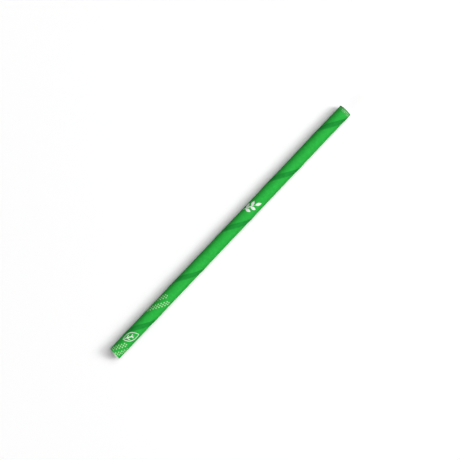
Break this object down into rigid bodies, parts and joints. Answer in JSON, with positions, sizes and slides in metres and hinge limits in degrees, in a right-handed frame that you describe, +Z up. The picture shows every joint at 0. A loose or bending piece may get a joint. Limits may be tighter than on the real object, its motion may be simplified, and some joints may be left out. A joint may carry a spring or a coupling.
{
  "type": "spiral-wound paper drinking straw",
  "caption": "Slender round paper tube wound from strips, the outer strip lapping over itself in a helix, cut square at the one end and slightly askew at the other.",
  "frame": {"origin": "on the surface it lies on, under the middle of its outer box", "axes": "+X along the straw towards the end that is cut square, +Z up from the surface it lies on"},
  "size_m": [0.197, 0.008, 0.008],
  "materials": {
    "green_paper": "smooth paper printed green outside, darker where it lies double, plain white at the cuts and in the bore"
  },
  "bodies": {
    "root": {"straw": "green_paper"}
  },
  "joints": []
}
